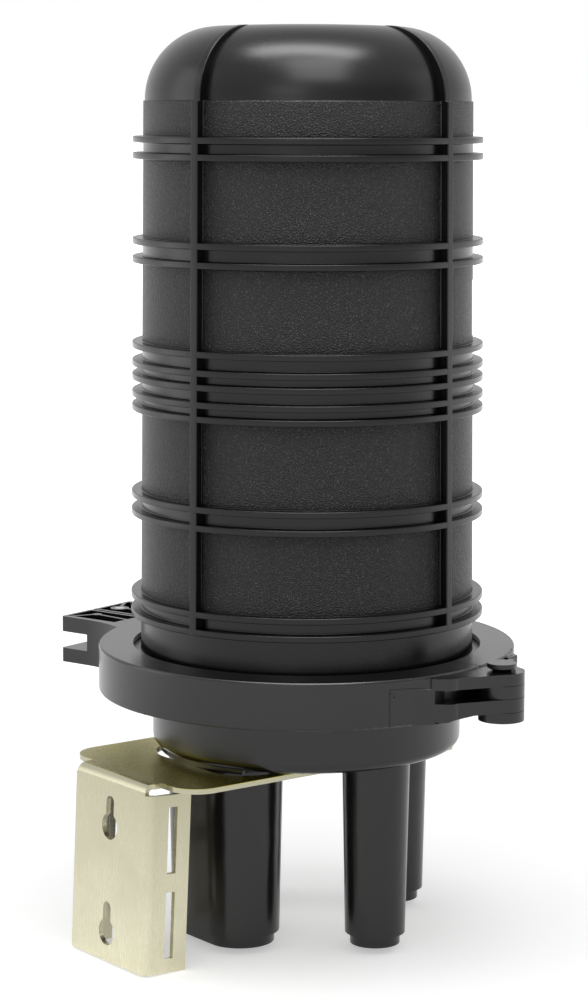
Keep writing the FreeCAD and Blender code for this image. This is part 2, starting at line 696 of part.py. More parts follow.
def make_bracket():
    under = d.plate_top - d.sheet
    outer_bend = d.bend_radius + d.sheet
    bend_height = d.plate_top - outer_bend
    shift = d.bracket_shift
    plate = raised("top_plate", rounded(-d.plate_back, d.plate_front, shift - d.plate_half_width, shift + d.plate_half_width,
                                        d.plate_back_corner, d.plate_front_corner), under, d.plate_top)
    bend_span = (shift - d.bend_half_width, shift + d.bend_half_width)
    tongue = block("bend_tongue", (-d.bend_axis, -d.plate_back + OVERRUN), bend_span, (under, d.plate_top))
    bend_stock = rod("bend_outer", outer_bend, d.bend_half_width * 2, -d.bend_axis, bend_span[0], bend_height, ALONG_Y)
    bend_hollow = rod("bend_inner", d.bend_radius, d.bend_half_width * 2, -d.bend_axis, bend_span[0],
                      bend_height, ALONG_Y)
    bend_window = block("bend_window", (-d.bend_axis - outer_bend, -d.bend_axis), bend_span, (bend_height, d.plate_top))
    bend = overlap("top_bend", cut("bend_tube", bend_stock, bend_hollow), bend_window)

    # the wall plate and its wings are drawn upright, with their outer face on X = 0 and the bend's axis at Z = 0
    width = d.wall_half_width
    depth = d.wing_depth
    channel = raised("wall_channel", [
        (0, width - outer_bend, outer_bend, -1),
        (outer_bend, width),
        (depth, width),
        (depth, width - d.sheet),
        (outer_bend, width - d.sheet, d.bend_radius, 1),
        (d.sheet, width - outer_bend),
        (d.sheet, -width + outer_bend, d.bend_radius, 1),
        (outer_bend, -width + d.sheet),
        (depth, -width + d.sheet),
        (depth, -width),
        (outer_bend, -width, outer_bend, -1),
        (0, -width + outer_bend),
    ], -d.wall_drop, as_size(0))
    tools = []
    beyond = width + OVERRUN
    for number, side in (("left", 1), ("right", -1)):
        low = (width - outer_bend) if side > 0 else -beyond
        high = beyond if side > 0 else -(width - outer_bend)
        tools.append(block(f"wing_relief_{number}", (d.sheet + d.bend_radius, depth + OVERRUN), (low, high),
                           (-d.wing_gap, as_size(OVERRUN))))
    for number in range(2):
        low = -d.slot_drop - d.slot_length - (d.slot_length + d.slot_gap) * number
        tools.append(block(f"wing_slots_{number}", (d.slot_from, d.slot_from + d.slot_width), (-beyond, beyond),
                           (low, low + d.slot_length)))
        centre = -d.keyhole_drop - d.keyhole_pitch * number
        through = d.sheet + 2 * OVERRUN
        tools.append(rod(f"keyhole_round_{number}", d.keyhole_radius, through, -OVERRUN, 0, centre, ALONG_X))
        slot_top = centre - d.keyhole_radius + d.keyhole_length - d.keyhole_slot / 2
        tools.append(block(f"keyhole_slot_{number}", (as_size(-OVERRUN), d.sheet + OVERRUN),
                           (-d.keyhole_slot / 2, d.keyhole_slot / 2), (centre, slot_top)))
        tools.append(rod(f"keyhole_end_{number}", d.keyhole_slot / 2, through, -OVERRUN, 0, slot_top, ALONG_X))
    channel = cut("wall_channel_cut", channel, *tools)
    # turned about the bend's axis: the outer face stays tangent to the bend
    turn_about(channel, FreeCAD.Vector(0, 1, 0), d.wall_lean)
    place(channel, -d.bend_axis - outer_bend * cosine(d.wall_lean), shift, bend_height + outer_bend * sine(d.wall_lean))

    oval_width = d.oval_half_width + d.port_flare + d.oval_clearance
    oval_length = d.oval_half_length + d.port_flare + d.oval_end_clearance
    holes = [raised("oval_cutout", rounded(-d.oval_offset - oval_width, -d.oval_offset + oval_width,
                                           -oval_length, oval_length, oval_width * 0.9), under - OVERRUN, d.plate_top + OVERRUN)]
    deep = d.sheet + 2 * OVERRUN
    for number, (x, y) in enumerate([(d.front_port_offset, 0), (0, d.port_offset), (0, -d.port_offset)], start=1):
        holes.append(rod(f"notch_{number}", d.notch_radius, deep, x, y, under - OVERRUN))
    for number, (x, y) in enumerate(SIGNS, start=1):
        holes.append(rod(f"sheet_hole_{number}", d.screw_radius + d.thread_clearance * 4, deep,
                         d.screw_x * x, d.screw_y * y, under - OVERRUN))
    for number, side in enumerate((1, -1), start=1):
        holes.append(rod(f"relief_{number}", d.relief_radius, d.plate_top - bend_height + 2 * OVERRUN,
                         -d.relief_x, shift + d.relief_y * side, bend_height - OVERRUN))
    piece("wall_bracket", cut("wall_bracket", fuse("bracket_sheet", plate, tongue, bend, channel), *holes))
    piece("bracket_screws", group("bracket_screws", *[
        screw(f"bracket_screw_{number}", d.screw_x * x, d.screw_y * y, under, d.screw_radius,
              d.sheet + d.screw_depth - OVERRUN, d.head_radius, d.head_height, downwards=False)
        for number, (x, y) in enumerate(SIGNS, start=1)]))


def hoop_half(name, side):
    """One half of the hoop: side is 1 for the half on +Y."""
    slope = (d.flange_root - d.flange_edge) / (d.flange_radius - d.root_radius)
    bore = d.flange_radius + d.hoop_bore_clearance
    edge = d.flange_edge + d.hoop_clearance - slope * d.hoop_bore_clearance
    upper_lip = d.parting_height + edge + slope * (bore - d.lip_radius)
    lower_lip = d.parting_height - edge - slope * (bore - d.lower_lip_radius)
    ring = turned(name + "_ring", [
        (d.lip_radius, upper_lip),
        (bore, d.parting_height + edge),
        (bore, d.parting_height - edge),
        (d.lower_lip_radius, lower_lip),
        (d.lower_lip_radius, d.hoop_bottom),
        (d.hoop_radius - d.hoop_round, d.hoop_bottom, d.hoop_round, 1),
        (d.hoop_radius, d.hoop_bottom + d.hoop_round),
        (d.hoop_radius, d.hoop_top - d.hoop_round, d.hoop_round, 1),
        (d.hoop_radius - d.hoop_round, d.hoop_top),
        (d.lip_radius, d.hoop_top),
    ])
    far = d.hoop_radius + OVERRUN
    span = (-far, d.parting_gap) if side > 0 else (-d.parting_gap, far)
    return cut(name + "_half_ring", ring, block(name + "_other_half", (-far, far), span,
                                                (d.hoop_bottom - OVERRUN, d.hoop_top + OVERRUN)))


def lug_form(name, side, sweep_angle):
    """A lug on +Y: a block with round corners that sweeps into the hoop."""
    inside = (d.hoop_radius + d.flange_radius) / 2
    return raised(name, [
        (inside, d.lug_inner_side),
        (d.lug_radius, d.lug_inner_side),
        (d.lug_radius, side - d.lug_corner, d.lug_corner, 1),
        (d.lug_radius - d.lug_corner, side),
        (d.lug_radius - d.lug_slot_depth, side, d.lug_sweep, -1),
        ((d.hoop_radius - OVERRUN) * cosine(sweep_angle), (d.hoop_radius - OVERRUN) * sine(sweep_angle)),
        (inside * cosine(sweep_angle), inside * sine(sweep_angle)),
    ], d.lug_bottom, d.hoop_top)


def lug_pocket(name, side, low, high, knob):
    """Stock of the pockets in one face of a lug on +Y, less its knob and the ribs that run from it."""
    x, y, radius = knob
    stock = block(name + "_stock", (d.lug_pocket_radius, d.lug_radius - d.lug_wall),
                  (d.lug_inner_side + d.lug_wall, side - d.lug_rim), (low, high))
    reach = d.lug_radius - d.hoop_radius
    return cut(name, stock, rod(name + "_knob", radius, high - low, x, y, low),
               strip(name + "_rib_outer", x, y, d.lug_rib_outwards, reach, d.lug_rib, low, high),
               strip(name + "_rib_inner", x, y, d.lug_rib_inwards, reach, d.lug_rib, low, high))


def lug(name, side, sweep_angle, knob):
    form = lug_form(name + "_form", side, sweep_angle)
    slot = block(name + "_slot", (d.lug_radius - d.lug_slot_depth, d.lug_radius + OVERRUN),
                 (as_size(-OVERRUN), side + OVERRUN), (d.lug_slot_low, d.lug_slot_high))
    pockets = []
    for end, low, high in (("upper", d.hoop_top - d.lug_pocket, d.hoop_top + OVERRUN),
                           ("lower", d.lug_bottom - OVERRUN, d.lug_bottom + d.lug_pocket)):
        pockets.append(lug_pocket(f"{name}_{end}", side, low, high, knob))
    return cut(name, form, slot, *pockets)


def arm_outline():
    """Seen from above, on +Y: straight out from the hoop, round a corner and on to the knuckle."""
    inside = (d.hoop_radius + d.flange_radius) / 2
    return [
        (-inside, d.parting_gap),
        (-inside, d.arm_side),
        (-d.arm_reach, d.arm_side, d.arm_corner, 1),
        (-d.arm_reach - d.arm_corner * 0.75, d.arm_side - d.arm_corner),
        (-d.pin_offset - d.knuckle_radius * cosine(d.arm_tangent), d.knuckle_radius * sine(d.arm_tangent)),
        (-d.pin_offset, d.parting_gap),
    ]


def arm(name, low, high):
    """One knuckle of the half on +Y, with the arm that carries it."""
    inside = (d.hoop_radius + d.flange_radius) / 2
    core = rod(name + "_core", inside - OVERRUN, high - low, 0, 0, low)
    web = cut(name + "_web", raised(name + "_plan", arm_outline(), low, high), core)
    return [web, rod(name + "_knuckle", d.knuckle_radius, high - low, -d.pin_offset, 0, low)]


def arm_root(name):
    """Closes the slots between the arms beside the hoop, as high as the hoop."""
    inside = (d.hoop_radius + d.flange_radius) / 2
    web = block(name + "_block", (-d.arm_root, -inside * 0.9), (d.arm_side / 2, d.arm_side), (d.hoop_bottom, d.knuckle_top))
    return cut(name, web, rod(name + "_core", inside - OVERRUN, d.hoop_top, 0, 0, 0))


def arm_underside(name, foot):
    """Fills the step from the front arm's underside down to the hoop's, as a slope."""
    inside = (d.hoop_radius + d.flange_radius) / 2
    wedge = across(name + "_profile", [
        (-inside, d.hoop_bottom), (-inside, foot), (-d.arm_flare, foot), (-d.arm_root, d.hoop_bottom),
    ], d.arm_side)
    plan = raised(name + "_plan", arm_outline(), d.hoop_bottom, foot)
    height = foot - d.hoop_bottom
    return cut(name, overlap(name + "_wedge", wedge, plan),
               rod(name + "_core", inside - OVERRUN, height, 0, 0, d.hoop_bottom),
               rod(name + "_room", d.knuckle_radius + d.knuckle_gap * 2, height, -d.pin_offset, 0, d.hoop_bottom))


def make_clamp():
    level_1 = d.knuckle_top - d.knuckle_1
    level_2 = level_1 - d.knuckle_2
    level_3 = level_2 - d.knuckle_3
    level_4 = level_3 - d.knuckle_4
    half_gap = d.knuckle_gap / 2
    eye_offset = d.lug_radius - d.eye_inset
    through = d.knuckle_top - level_4 + 2 * OVERRUN

    front_arms = arm("front_arm_1", level_1 + half_gap, d.knuckle_top) + arm("front_arm_3", level_3 + half_gap, level_2 - half_gap)
    knob = (d.lug_radius - d.knob_inset, d.knob_side, d.knob_radius)
    front_lug = lug("front_lug", d.lug_side, d.lug_sweep_angle, knob)
    front = fuse("front_half_solids", hoop_half("front", 1), front_lug, arm_root("front_root"),
                 arm_underside("front_underside", level_3 + half_gap), *front_arms)
    front = cut("clamp_front_half", front,
                rod("front_pin_bore", d.pin_radius, through, -d.pin_offset, 0, level_4 - OVERRUN))

    rear_arms = arm("rear_arm_2", level_2 + half_gap, level_1 - half_gap) + arm("rear_arm_4", level_4, level_3 - half_gap)
    rear_arms = mirrored("rear_arms", fuse("rear_arms_left", arm_root("rear_root"), *rear_arms), (0, 1, 0))
    boss = (eye_offset, d.eye_side, d.eye_boss_radius)
    rear_lug = mirrored("rear_lug", lug("rear_lug_left", d.rear_lug_side, d.rear_lug_sweep_angle, boss), (0, 1, 0))
    rear = fuse("rear_half_solids", hoop_half("rear", -1), rear_lug, rear_arms)
    rear = cut("clamp_rear_half", rear,
               rod("rear_pin_bore", d.pin_radius + d.pin_clearance, through, -d.pin_offset, 0, level_4 - OVERRUN),
               rod("eye_pin_bore", d.eye_pin_radius, d.hoop_top - d.lug_bottom + 2 * OVERRUN,
                   eye_offset, -d.eye_side, d.lug_bottom - OVERRUN))

    # hinge pin: a shank with a sloped neck, a flat head and a small tab
    tab_length = d.pin_head_radius + d.pin_radius
    head_low = d.knuckle_top + d.pin_neck_height
    pin = fuse("clamp_hinge_pin",
               rod("pin_shank", d.pin_radius, d.knuckle_top - level_4, -d.pin_offset, 0, level_4),
               taper("pin_neck", d.pin_radius * 1.4, d.pin_head_radius, d.pin_neck_height, -d.pin_offset, 0, d.knuckle_top),
               rod("pin_head", d.pin_head_radius, d.pin_head_height, -d.pin_offset, 0, head_low),
               block("pin_tab", (-d.pin_offset - d.pin_radius / 2, -d.pin_offset + d.pin_radius / 2),
                     (-tab_length, as_size(0)), (head_low - d.pin_neck_height / 2, head_low + d.pin_head_height)))

    # eye bolt, swung back along -Y from its pin
    middle = (d.lug_slot_low + d.lug_slot_high) / 2
    eye_height = d.lug_slot_high - d.lug_slot_low - 2 * d.eye_clearance
    eye_low = middle - eye_height / 2
    bolt = fuse("eye_bolt_solids",
                rod("eye", d.eye_radius, eye_height, eye_offset, -d.eye_side, eye_low),
                rod("eye_shank", d.bolt_radius, d.bolt_length, eye_offset, -d.eye_side - d.bolt_length, middle, ALONG_Y))
    bolt = cut("eye_bolt", bolt, rod("eye_bore", d.eye_pin_radius + d.pin_clearance, eye_height + 2 * OVERRUN,
                                     eye_offset, -d.eye_side, eye_low - OVERRUN))
    eye_pin = group("eye_bolt_pin", rod("eye_pin_rod", d.eye_pin_radius, d.hoop_top - d.lug_bottom,
                                        eye_offset, -d.eye_side, d.lug_bottom))
    nut_end = -d.eye_side - d.nut_distance - d.nut_height
    nut = fuse("nut_solids",
               hexagon("nut_hexagon", d.nut_across, d.nut_height, eye_offset, nut_end, middle, ALONG_Y),
               rod("nut_flange", d.nut_flange_radius, d.nut_flange_height, eye_offset,
                   -d.eye_side - d.nut_distance - d.nut_flange_height, middle, ALONG_Y))
    nut = cut("clamp_nut", nut, rod("nut_bore", d.bolt_radius + d.pin_clearance, d.nut_height + 2 * OVERRUN,
                                    eye_offset, nut_end - OVERRUN, middle, ALONG_Y))
    for name, feature in (("clamp_front_half", front), ("clamp_rear_half", rear), ("clamp_hinge_pin", pin),
                          ("eye_bolt", bolt), ("eye_bolt_pin", eye_pin), ("clamp_nut", nut)):
        piece(name, turn_about(feature, UP, d.clamp_turn))


def block_screw_place(side):
    """Where a screw of the hinge block goes through the frame."""
    inner = d.barrel_half_length + d.cheek_clearance
    return (inner + d.block_half_width) / 2 * side, d.block_bottom + d.block_cover * 2


def make_frame():
    front = d.frame_back + d.frame_sheet
    edge_back = d.frame_back - d.frame_edge
    width = d.frame_half_width
    top = d.frame_top
    foot_top = d.foot_bottom + d.frame_sheet
    solids = [
        block("frame_plate", (d.frame_back, front), (-width, width), (foot_top + d.frame_edge, top)),
        block("frame_neck", (d.frame_back, front), (-d.foot_half_width, d.foot_half_width),
              (d.foot_bottom, foot_top + d.frame_edge * 2)),
        block("frame_foot", (d.frame_back, d.foot_front), (-d.foot_half_width, d.foot_half_width),
              (d.foot_bottom, foot_top)),
        block("frame_edge_left", (edge_back, front), (width - d.frame_sheet, width), (foot_top + d.frame_edge, top)),
        block("frame_edge_right", (edge_back, front), (-width, -width + d.frame_sheet), (foot_top + d.frame_edge, top)),
    ]
    tools = []
    for number in range(WINDOWS):
        low = d.window_low + d.window_pitch * number
        tools.append(block(f"window_{number}", (d.frame_back - OVERRUN, front + OVERRUN),
                           (-d.window_half_width, d.window_half_width), (low, low + d.window_height)))
    hole = d.small_screw_radius + d.thread_clearance * 4
    for number, (x, y) in enumerate(SIGNS, start=1):
        tools.append(rod(f"foot_screw_hole_{number}", hole, d.frame_sheet + 2 * OVERRUN,
                         d.foot_screw_x * x, d.foot_screw_y * y, d.foot_bottom - OVERRUN))
    for name, side in (("left", 1), ("right", -1)):
        y, z = block_screw_place(side)
        tools.append(rod(f"block_screw_gap_{name}", hole, d.frame_sheet + 2 * OVERRUN, d.frame_back - OVERRUN, y, z, ALONG_X))
    piece("support_frame", cut("support_frame", fuse("frame_solids", *solids), *tools))
    piece("frame_screws", group("frame_screws", *[
        screw(f"frame_screw_{number}", d.foot_screw_x * x, d.foot_screw_y * y, foot_top, d.small_screw_radius,
              foot_top - d.cup_bottom - d.cup_wall, d.small_head_radius, d.small_head_height)
        for number, (x, y) in enumerate(SIGNS, start=1)]))

    # cable core clamps and the earth stud stand on the foot
    clamps = []
    clamp_screws = []
    for name, side in (("left", 1), ("right", -1)):
        y = d.clamp_block_offset * side
        body = block(f"core_clamp_{name}", (-d.clamp_block_x / 2, d.clamp_block_x / 2),
                     (y - d.clamp_block_y / 2, y + d.clamp_block_y / 2), (foot_top, foot_top + d.clamp_block_height))
        bore = rod(f"core_bore_{name}", d.small_screw_radius, d.clamp_block_y + 2 * OVERRUN, -d.clamp_block_x / 4,
                   y - d.clamp_block_y / 2 - OVERRUN, foot_top + d.clamp_block_height / 2, ALONG_Y)
        hole = rod(f"clamp_hole_{name}", d.small_screw_radius + d.thread_clearance, d.clamp_block_height + 2 * OVERRUN,
                   d.clamp_block_x / 4, y, foot_top - OVERRUN)
        clamps.append(cut(f"strength_clamp_{name}", body, bore, hole))
        clamp_screws.append(screw(f"clamp_screw_{name}", d.clamp_block_x / 4, y, foot_top + d.clamp_block_height,
                                  d.small_screw_radius, d.clamp_block_height, d.small_head_radius, d.small_head_height))
    piece("strength_member_clamps", group("strength_member_clamps", *clamps))
    piece("clamp_screws", group("clamp_screws", *clamp_screws))
    piece("earth_stud", rod("earth_stud", d.stud_radius, d.stud_height, 0, 0, foot_top))
    nut_low = foot_top
    nut = hexagon("earth_nut_hexagon", d.stud_nut_across, d.stud_nut_height, 0, 0, nut_low)
    piece("earth_nut", cut("earth_nut", nut, rod("earth_nut_bore", d.stud_radius + d.thread_clearance,
                                                 d.stud_nut_height + 2 * OVERRUN, 0, 0, nut_low - OVERRUN)))

    # storage basket behind the frame, open to the front
    outline = rounded(-width, width, d.basket_low, d.basket_high, d.basket_corner)
    wall = d.basket_wall
    inner = rounded(-width + wall, width - wall, d.basket_low + wall, d.basket_high - wall, d.basket_corner - wall)
    shell = cut("basket_shell", facing("basket_outer", outline, d.basket_back, edge_back),
                facing("basket_inner", inner, d.basket_back + wall, edge_back + OVERRUN))
    piece("fibre_basket", shell)


def hinge_place(number):
    """Middle of a tray's hinge pin: number 1 is the front tray."""
    x = d.tray_back + d.tray_depth / 2 + d.tray_pitch * (TRAYS - number)
    return x, d.hinge_low + d.hinge_step * (number - 1)


def make_hinge_block():
    front = d.frame_back + d.frame_sheet
    half_step = d.tray_pitch / 2
    stairs = [(front, d.block_bottom)]
    first_x, first_z = hinge_place(1)
    stairs.append((first_x + half_step, d.block_bottom))
    for number in range(1, TRAYS + 1):
        x, z = hinge_place(number)
        stairs.append((x + half_step, z + d.block_cover))
        if number < TRAYS:
            stairs.append((x - half_step, z + d.block_cover))
    stairs.append((front, hinge_place(TRAYS)[1] + d.block_cover))
    solid = across("hinge_stairs", stairs, d.block_half_width)
    tools = []
    inner = d.barrel_half_length + d.cheek_clearance
    reach = d.block_half_width + OVERRUN
    pins = []
    for number in range(1, TRAYS + 1):
        x, z = hinge_place(number)
        left = x - half_step if number < TRAYS else x - d.barrel_radius - d.cheek_clearance
        tools.append(block(f"barrel_room_{number}", (left, x + half_step + OVERRUN), (-inner, inner),
                           (z - d.barrel_radius - d.cheek_clearance, z + d.block_cover + OVERRUN)))
        tools.append(rod(f"block_pin_hole_{number}", d.hinge_pin_radius, reach * 2, x, -reach, z, ALONG_Y))
        pins.append(rod(f"tray_pin_{number}", d.hinge_pin_radius, d.block_half_width * 2, x, -d.block_half_width, z, ALONG_Y))
    screws = []
    depth = hinge_place(3)[0] - front
    for name, side in (("left", 1), ("right", -1)):
        y, low = block_screw_place(side)
        tools.append(rod(f"block_screw_hole_{name}", d.small_screw_radius + d.thread_clearance, depth, front, y, low, ALONG_X))
        thread = rod(f"block_thread_{name}", d.small_screw_radius, depth + d.frame_sheet - OVERRUN, d.frame_back, y, low, ALONG_X)
        head = rod(f"block_head_{name}", d.small_head_radius, d.small_head_height, d.frame_back - d.small_head_height,
                   y, low, ALONG_X)
        screws.append(fuse(f"block_screw_{name}", thread, head))
    piece("tray_hinge_block", cut("tray_hinge_block", solid, *tools))
    piece("hinge_block_screws", group("hinge_block_screws", *screws))
    piece("tray_hinge_pins", group("tray_hinge_pins", *pins))


def make_tray(number):
    x, z = hinge_place(number)
    back = x - d.tray_depth / 2
    front = back + d.tray_depth
    low = z + d.tray_lift
    high = low + d.tray_length
    half = d.tray_half_width
    wall = d.tray_wall
    name = f"splice_tray_{number}"
    outer = facing(name + "_outer", rounded(-half, half, low, high, d.tray_corner), back, front)
    inner = facing(name + "_inner", rounded(-half + wall, half - wall, low + wall, high - wall, d.tray_corner - wall),
                   back + d.tray_floor, front + OVERRUN)
    shell = cut(name + "_shell", outer, inner)
    inset = d.spool_radius + d.tray_corner
    spools = []
    for end, height in (("lower", low + inset), ("upper", high - inset)):
        spool = rod(f"{name}_spool_{end}", d.spool_radius, d.spool_height + d.tray_floor, back, 0, height, ALONG_X)
        hollow = rod(f"{name}_spool_hole_{end}", d.spool_radius - wall, d.spool_height + d.tray_floor,
                     back + d.tray_floor, 0, height, ALONG_X)
        spools.append(cut(f"{name}_guide_{end}", spool, hollow))
    length = d.barrel_half_length
    barrel = rod(name + "_barrel", d.barrel_radius, length * 2, x, -length, z, ALONG_Y)
    neck = block(name + "_neck", (x - d.hinge_pin_radius, x + d.hinge_pin_radius), (-length, length), (z, low + wall))
    bore = rod(name + "_bore", d.hinge_pin_radius + d.pin_clearance, length * 2 + 2 * OVERRUN, x, -length - OVERRUN, z, ALONG_Y)
    solid = fuse(name + "_solids", shell, barrel, neck, *spools)
    piece(name, cut(name, solid, bore))

    comb_low = (low + high) / 2 - d.comb_height / 2
    comb_back = back + d.tray_floor
    comb = block(f"comb_{number}_block", (comb_back, comb_back + d.comb_depth), (-d.comb_half_length, d.comb_half_length),
                 (comb_low, comb_low + d.comb_height))
    pitch = d.comb_half_length * 2 / d.comb_slots
    grooves = []
    for index in range(int(d.comb_slots.value)):
        middle = -d.comb_half_length + pitch * (index + 0.5)
        grooves.append(block(f"comb_{number}_groove_{index}",
                             (comb_back + d.comb_depth / 2, comb_back + d.comb_depth + OVERRUN),
                             (middle - d.comb_slot / 2, middle + d.comb_slot / 2),
                             (comb_low - OVERRUN, comb_low + d.comb_height + OVERRUN)))
    piece(f"splice_comb_{number}", cut(f"splice_comb_{number}", comb, *grooves))
    if number == 1:
        piece("tray_cover", facing("tray_cover", rounded(-half, half, low, high, d.tray_corner), front, front + d.cover_sheet))


make_dome()
make_base()
make_bracket()
make_clamp()
make_frame()
make_hinge_block()
for tray in range(1, TRAYS + 1):
    make_tray(tray)
doc.recompute()

for feature in doc.Objects:
    if "Invalid" in feature.State or "Error" in feature.State:
        raise RuntimeError(f"{feature.Name} failed: {feature.State}")
for feature in pieces:
    if feature.Shape.isNull() or not feature.Shape.isValid():
        raise RuntimeError(f"{feature.Label} has no sound shape")

os.makedirs("parts", exist_ok=True)
for feature in pieces:
    feature.Shape.exportStep(os.path.join("parts", feature.Label + ".step"))
    print(feature.Label, len(feature.Shape.Solids), round(feature.Shape.Volume / 1000, 2), "cm3")
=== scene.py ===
import json
import math

import bmesh
import bpy
from mathutils import Euler, Matrix, Quaternion, Vector


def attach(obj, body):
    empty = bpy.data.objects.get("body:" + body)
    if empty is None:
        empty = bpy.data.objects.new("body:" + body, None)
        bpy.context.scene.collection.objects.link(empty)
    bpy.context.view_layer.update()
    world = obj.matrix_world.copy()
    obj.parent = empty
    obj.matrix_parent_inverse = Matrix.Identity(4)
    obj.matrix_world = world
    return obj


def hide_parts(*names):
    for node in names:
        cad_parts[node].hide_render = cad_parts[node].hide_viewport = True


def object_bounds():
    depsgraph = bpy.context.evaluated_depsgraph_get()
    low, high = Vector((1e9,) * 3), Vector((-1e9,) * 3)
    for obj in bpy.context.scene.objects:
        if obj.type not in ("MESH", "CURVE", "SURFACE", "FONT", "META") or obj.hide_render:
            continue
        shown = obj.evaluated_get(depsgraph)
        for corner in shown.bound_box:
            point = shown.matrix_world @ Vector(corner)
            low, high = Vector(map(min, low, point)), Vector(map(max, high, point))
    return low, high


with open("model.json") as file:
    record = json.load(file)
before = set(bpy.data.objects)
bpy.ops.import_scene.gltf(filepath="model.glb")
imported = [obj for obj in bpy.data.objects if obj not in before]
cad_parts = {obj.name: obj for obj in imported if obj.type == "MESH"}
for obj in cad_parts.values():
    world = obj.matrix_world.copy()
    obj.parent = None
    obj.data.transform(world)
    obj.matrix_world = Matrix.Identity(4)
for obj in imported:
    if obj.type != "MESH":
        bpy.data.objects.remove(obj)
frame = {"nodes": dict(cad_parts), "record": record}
nodes = frame["nodes"]
frame_low, frame_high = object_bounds()
MM = 0.001
# corners nearer than this become one, and faces flatter than this are one face
MERGE = 0.000002
FLAT = math.radians(0.5)


# sizes of the dome, in millimetres and degrees; angles between faces that count as sharp, in radians

PARTING = 131.0
WALL_RADIUS = 83.3
WALL_THICKNESS = 3.0
DRAFT = math.tan(math.radians(0.524))
FLANGE_RADIUS = 100.0
FLANGE_EDGE = 7.6
FLANGE_ROOT = 8.9
SLOPE_START = 88.0
TOP = 448.4
CROWN = 1.2
TOP_RADIUS = 48.0
SHOULDER_START = 411.6
SHOULDER_STEP = 0.75
SHOULDER_ROUND = 35.4
SHOULDER = WALL_RADIUS - DRAFT * (SHOULDER_START - PARTING) - SHOULDER_STEP
RIM = TOP - CROWN
CROWN_ROUND = (TOP_RADIUS ** 2 + CROWN ** 2) / (2 * CROWN)
RINGS = [159.9, 168.5, 210.2, 219.1, 262.2, 269.0, 277.3, 284.1, 292.9, 334.8, 343.8, 385.1, 393.0]
RING_THICKNESS = 3.1
RING_DEPTH = 5.0
RING_EDGE = 0.5
LOWEST = RINGS[0] - RING_THICKNESS / 2
RIB_WIDTH = 4.2
RIB_DEPTH = 5.03
RIB_EDGE = 0.5
RIB_TURN = 14.0
RIDGE_DEPTH = 4.2
RIDGE_RISE = 0.15
RIDGE_ROUND = 35.6
RIDGE_END = TOP_RADIUS - 0.5
RIDGE_FOOT = TOP_RADIUS - 1.0
FIELD_LOW = 297.0
FIELD_HIGH = 325.0
FIELD_START = -65.6
FIELD_SWEEP = 69.0
FIELD_DEPTH = 0.35
FIELD_GAP = 5.0
CLEAR_OF_WALL = 1.0
CLEAR_OF_SHOULDER = 0.4
SLACK = 0.1
SHARP = 0.9
RIB_SHARP = 0.7
AROUND = 240
ARC_STEPS = 18
PANELS = [(170.3, 208.4), (220.9, 260.4), (294.7, 333.0), (345.6, 383.3), (394.8, 411.4)]


# sizes of the clamp, in millimetres and degrees; its plans lie on its own axes

CLAMP_TURN = 105.9
HOOP_RADIUS = 104.4
HOOP_TOP = 142.7
HOOP_ROUND = 1.3
BAND_PROUD = 0.04
BAND_DEPTH = 0.5
BAND_HEIGHT = 0.8
BAND_START = 24.0
BAND_SWEEP = 131.0
BAND_STEPS = 120
CORNER_PLAN = [(-94.6, 43.9), (-96.2, 41.4), (-98.0, 39.2), (-100.0, 37.5), (-102.2, 36.3),
               (-102.2, 28.0), (-94.0, 28.0)]
CORNER_HEIGHTS = (119.75, 141.85)
FLANK_PLAN = [(-99.0, 37.6), (-100.4, 37.33), (-102.2, 36.36), (-104.4, 35.3), (-106.4, 34.3),
              (-108.0, 33.2), (-108.0, 30.0), (-99.0, 30.0)]
FRONT_ARMS = [(120.95, 129.75), (136.35, 141.83)]
REAR_ARMS = [(130.05, 136.05)]


# shader values with arithmetic

class Value:
    """One output of a shader node."""

    def __init__(self, tree, socket):
        self.tree = tree
        self.socket = socket

    def maths(self, operation, *numbers, clamp=False):
        settings = {"operation": operation, "use_clamp": clamp}
        return self.tree.node("ShaderNodeMath", settings, dict(enumerate(numbers)))

    def __add__(self, other):
        return self.maths("ADD", self, other)

    def __radd__(self, other):
        return self.maths("ADD", other, self)

    def __sub__(self, other):
        return self.maths("SUBTRACT", self, other)

    def __rsub__(self, other):
        return self.maths("SUBTRACT", other, self)

    def __mul__(self, other):
        return self.maths("MULTIPLY", self, other)

    def __rmul__(self, other):
        return self.maths("MULTIPLY", other, self)

    def __truediv__(self, other):
        return self.maths("DIVIDE", self, other)

    def __rtruediv__(self, other):
        return self.maths("DIVIDE", other, self)

    def __pow__(self, other):
        return self.maths("POWER", self, other)

    def above(self, edge, width):
        """0 below the edge and 1 above it, with a soft step of that width."""
        return self.maths("ADD", (self - edge) / width, 0.5, clamp=True)

    def within(self, low, high, width):
        """1 between two edges and 0 beyond them."""
        return self.above(low, width) * (1.0 - self.above(high, width))


class Tree:
    """The nodes of a material or of the world."""

    def __init__(self, owner):
        owner.use_nodes = True
        self.nodes = owner.node_tree.nodes
        self.links = owner.node_tree.links
        self.nodes.clear()

    def node(self, kind, settings=None, inputs=None, output=0):
        made = self.nodes.new(kind)
        for name, setting in (settings or {}).items():
            setattr(made, name, setting)
        for name, number in (inputs or {}).items():
            if isinstance(number, Value):
                self.links.new(number.socket, made.inputs[name])
            else:
                made.inputs[name].default_value = number
        return None if output is None else Value(self, made.outputs[output])


